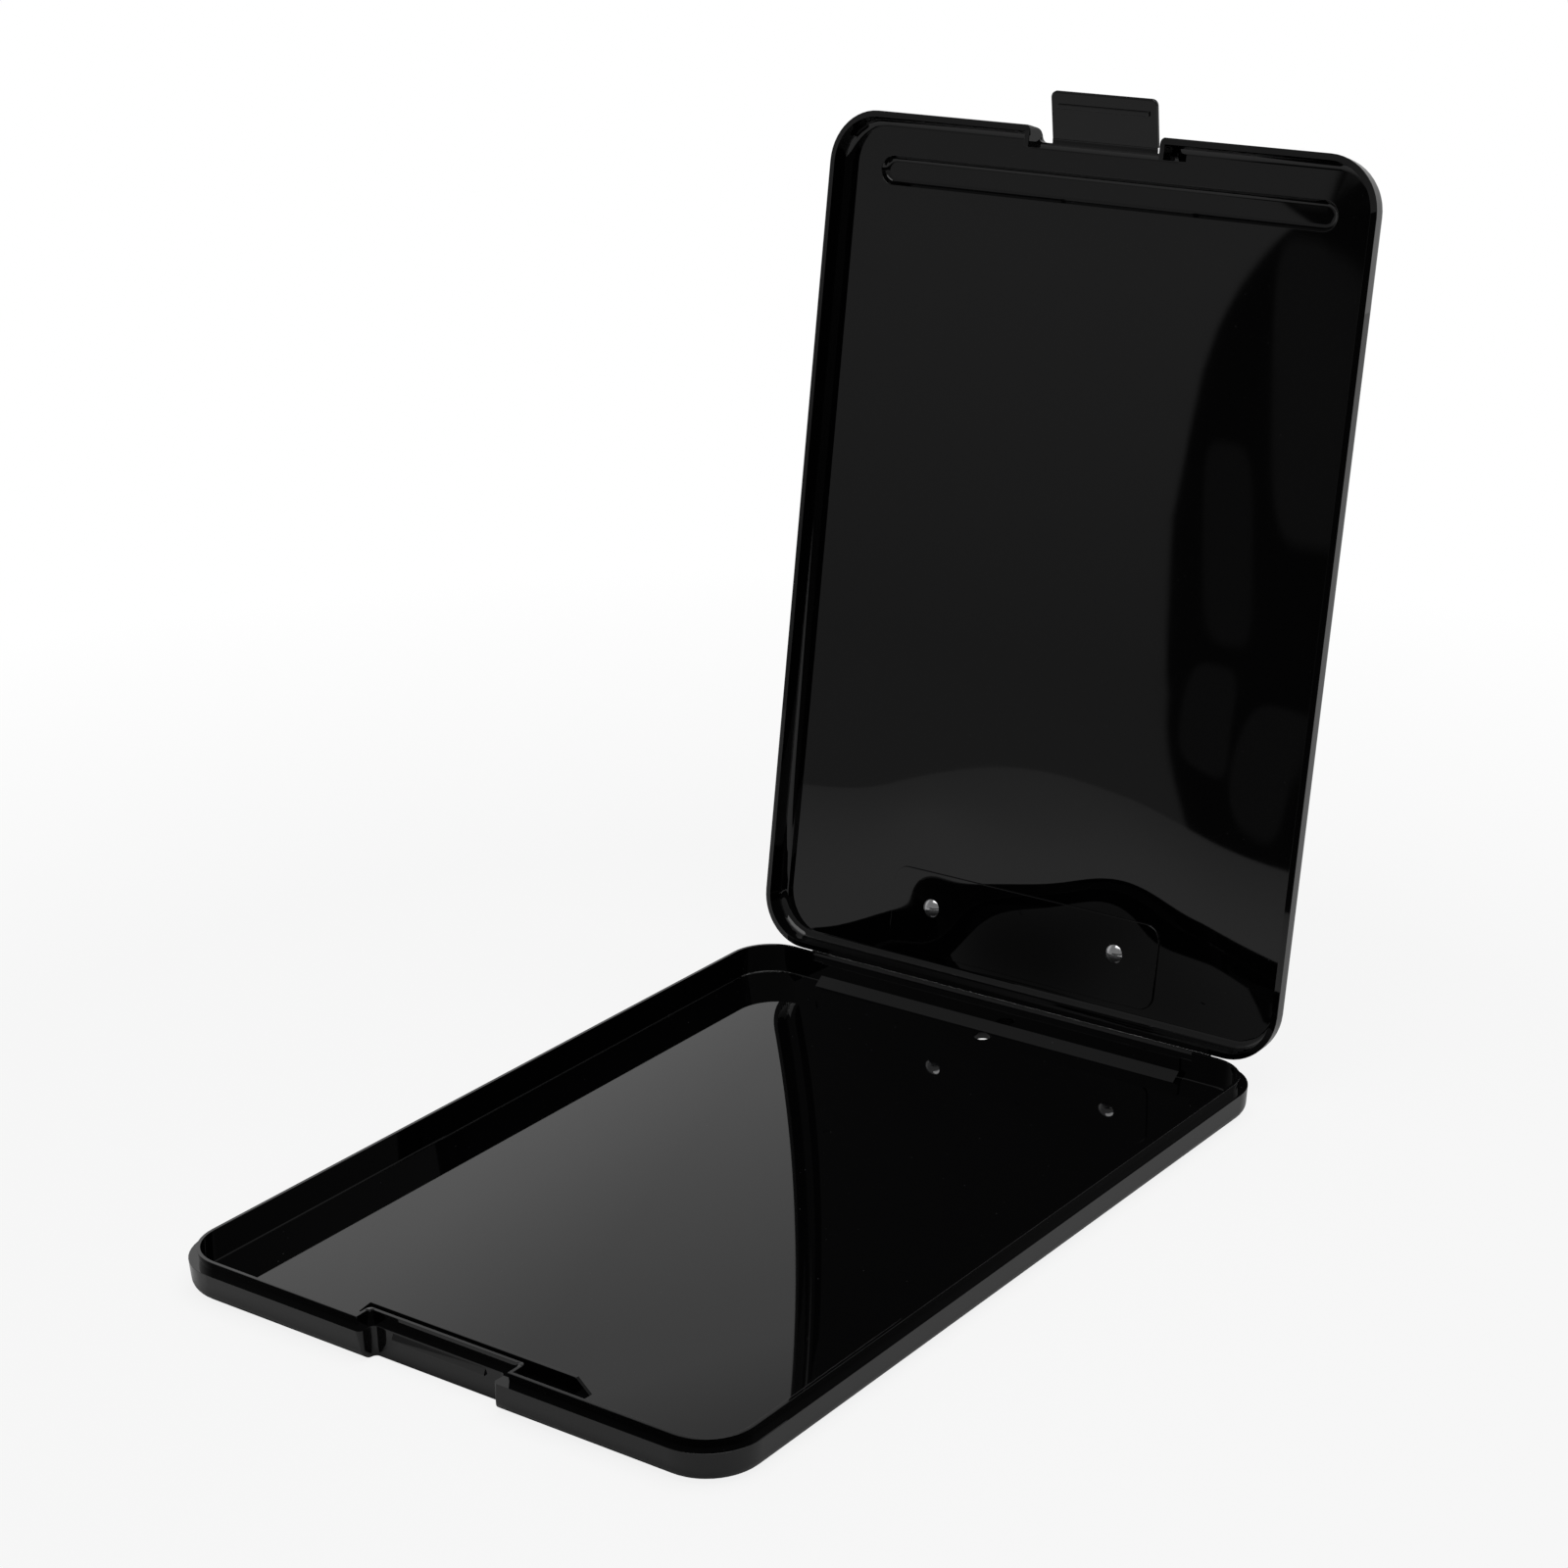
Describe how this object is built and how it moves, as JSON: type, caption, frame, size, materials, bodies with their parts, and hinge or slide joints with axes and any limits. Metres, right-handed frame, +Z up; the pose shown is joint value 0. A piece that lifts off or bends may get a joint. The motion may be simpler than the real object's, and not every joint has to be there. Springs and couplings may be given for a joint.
{
  "type": "storage clipboard box",
  "caption": "Slim black plastic storage clipboard box with a hinged lid, a flap latch, a document tray and a steel spring clip on the outside of the lid",
  "frame": {"origin": "centre of the tray's underside, on the surface that the box lies on", "axes": "X along the hinge, +Y from the latch edge towards the hinge, +Z up; the tray lies flat and the lid stands open 100.5 degrees from closed"},
  "size_m": [0.24, 0.4102, 0.3569],
  "materials": {
    "black_plastic": "glossy black polypropylene, moulded in one piece with its hinges",
    "plated_steel": "bright nickel-plated steel sheet, pin and rivets",
    "spring_steel": "bright drawn spring wire"
  },
  "bodies": {
    "tray": {"tray_shell": "black_plastic", "hinge_web": "black_plastic"},
    "lid": {"lid_shell": "black_plastic", "latch_web": "black_plastic", "clip_base_plate": "plated_steel", "clip_pivot_pin": "plated_steel", "clip_spring": "spring_steel", "clip_rivets": "plated_steel"},
    "latch": {"latch_flap": "black_plastic"},
    "jaw": {"clip_jaw": "plated_steel"}
  },
  "joints": [
    {"name": "lid_hinge", "type": "hinge", "parent": "tray", "child": "lid", "pos_m": [0, 0.17, 0.01115], "axis": [-1, 0, 0], "range_deg": [-100.5, 79.5], "deforming": ["hinge_web"]},
    {"name": "latch_hinge", "type": "hinge", "parent": "lid", "child": "latch", "pos_m": [0, 0.23943, 0.33777], "axis": [1, 0, 0], "range_deg": [-60, 75], "deforming": ["latch_web"]},
    {"name": "clip_hinge", "type": "hinge", "parent": "lid", "child": "jaw", "pos_m": [0, 0.18928, 0.03259], "axis": [-1, 0, 0], "range_deg": [0, 25], "stiffness_Nm_per_rad": 0.05, "springref_deg": -20.05, "deforming": ["clip_spring"]}
  ]
}
